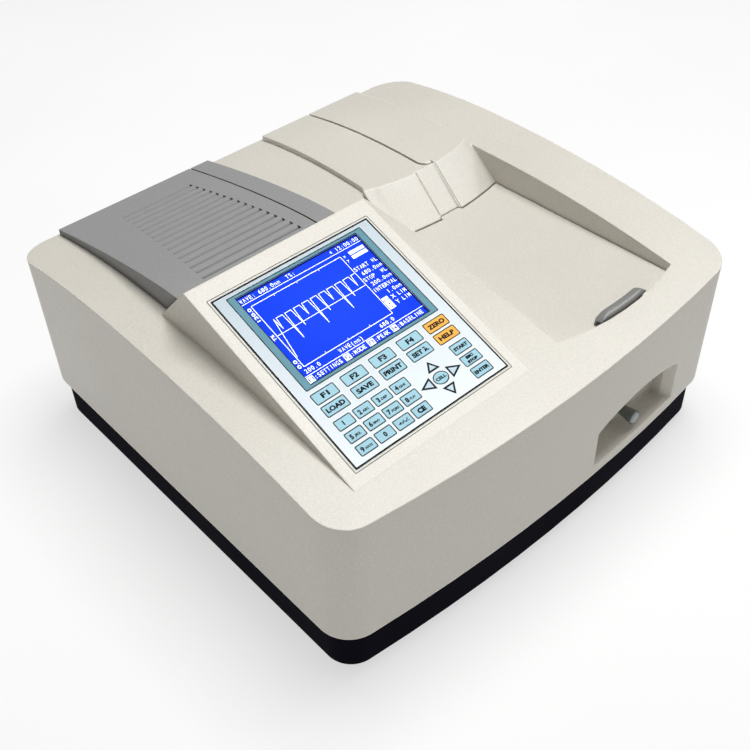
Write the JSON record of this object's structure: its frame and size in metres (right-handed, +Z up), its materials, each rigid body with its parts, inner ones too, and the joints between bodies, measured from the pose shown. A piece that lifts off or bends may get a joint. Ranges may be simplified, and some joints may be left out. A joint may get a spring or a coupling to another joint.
{
  "type": "spectrophotometer",
  "caption": "Benchtop spectrophotometer with a tilted display and keypad, a hinged lid over a sample compartment and a pull-rod cell changer",
  "frame": {"origin": "On the bench under the middle of the instrument, at the feet's undersides", "axes": "+X to the operator's right, +Y to the rear, +Z up"},
  "size_m": [0.438, 0.432, 0.2393],
  "materials": {
    "casing_cream": "fine grained moulding",
    "vent_grey": "fine grained moulding",
    "base_black": "fine grained moulding",
    "handle_grey": "satin",
    "foot_rubber": "dull",
    "steel": "ground",
    "black_plastic": "moulded",
    "carriage_black": "black anodised",
    "knob_grey": "satin",
    "knob_cap_grey": "polished",
    "brass": "turned",
    "keypad_film": "printed film",
    "display_blue": "lit display behind glass",
    "film_orange": "flexible printed lead",
    "board_green": "solder mask",
    "cast_alloy": "cast",
    "case_black": "matt black paint",
    "motor_grey": "satin",
    "mirror": "polished",
    "clear_glass": "clear",
    "belt_rubber": "matt",
    "sheet_steel": "satin paint"
  },
  "bodies": {
    "instrument": {"upper_housing": "casing_cream", "spine_cover": "casing_cream", "vent_cover": "vent_grey", "vent_edge_strip": "vent_grey", "base_tray": "base_black", "foot_1": "foot_rubber", "foot_2": "foot_rubber", "foot_3": "foot_rubber", "foot_4": "foot_rubber", "carriage_rail_left": "steel", "carriage_rail_right": "steel", "serial_port": "steel", "cover_screw_left": "steel", "cover_screw_right": "steel", "display_module": "steel", "compartment_tub": "black_plastic", "filter_motor": "black_plastic", "mains_inlet": "black_plastic", "power_switch_frame": "black_plastic", "fuse_cap": "black_plastic", "fan_frame": "black_plastic", "main_harness": "black_plastic", "rod_bush": "brass", "keypad_overlay": "keypad_film", "display_glass": "display_blue", "keypad_tail": "film_orange", "controller_board": "board_green", "detector_board": "board_green", "optical_bench": "cast_alloy", "lamp_housing": "cast_alloy", "monochromator_case": "case_black", "monochromator_cover": "case_black", "detector_housing": "case_black", "entrance_slit": "case_black", "exit_slit": "case_black", "grating_motor": "motor_grey", "collimating_mirror": "mirror", "focusing_mirror": "mirror", "source_window": "clear_glass", "detector_window": "clear_glass", "deuterium_lamp": "clear_glass", "halogen_lamp": "clear_glass", "drive_belt": "belt_rubber", "power_supply": "sheet_steel", "rear_panel": "sheet_steel"},
    "lid": {"sample_lid": "casing_cream", "lid_handle": "handle_grey", "hinge_pin_left": "steel", "hinge_pin_right": "steel"},
    "changer": {"cell_carriage": "carriage_black", "pull_rod": "steel", "pull_knob": "knob_grey", "knob_cap": "knob_cap_grey"},
    "power_rocker": {"power_rocker": "black_plastic"},
    "fan_rotor": {"fan_rotor": "black_plastic"},
    "grating": {"grating_turntable": "cast_alloy", "diffraction_grating": "mirror"},
    "motor_pulley": {"motor_pulley": "steel"},
    "filter_wheel": {"filter_wheel": "cast_alloy"},
    "source_mirror": {"source_mirror": "mirror"}
  },
  "joints": [
    {"name": "lid_hinge", "type": "hinge", "parent": "instrument", "child": "lid", "pos_m": [0.098, 0.0055, 0.167], "axis": [-1, 0, 0], "range_deg": [0, 100]},
    {"name": "cell_slide", "type": "slide", "parent": "instrument", "child": "changer", "axis": [0, -1, 0], "range_m": [0, 0.048]},
    {"name": "power_switch", "type": "hinge", "parent": "instrument", "child": "power_rocker", "pos_m": [0.104, 0.204, 0.084], "axis": [1, 0, 0], "range_deg": [0, 20]},
    {"name": "fan_spin", "type": "hinge", "parent": "instrument", "child": "fan_rotor", "pos_m": [-0.1, 0.194, 0.104], "axis": [0, 1, 0], "continuous": true},
    {"name": "grating_turn", "type": "hinge", "parent": "instrument", "child": "grating", "pos_m": [-0.066, -0.02, 0.04], "axis": [0, 0, 1], "range_deg": [-30, 30]},
    {"name": "motor_pulley_turn", "type": "hinge", "parent": "instrument", "child": "motor_pulley", "pos_m": [-0.03, -0.128, 0.035], "axis": [0, 0, 1], "range_deg": [-150, 150]},
    {"name": "filter_wheel_turn", "type": "hinge", "parent": "instrument", "child": "filter_wheel", "pos_m": [-0.007, 0.0515, 0.082], "axis": [0, 1, 0], "continuous": true},
    {"name": "source_mirror_swing", "type": "hinge", "parent": "instrument", "child": "source_mirror", "pos_m": [0.01, 0.116, 0.06], "axis": [0, 0, 1], "range_deg": [0, 90]}
  ],
  "couplings": [
    {"joint": "motor_pulley_turn", "follows": "grating_turn", "ratio": 4}
  ]
}
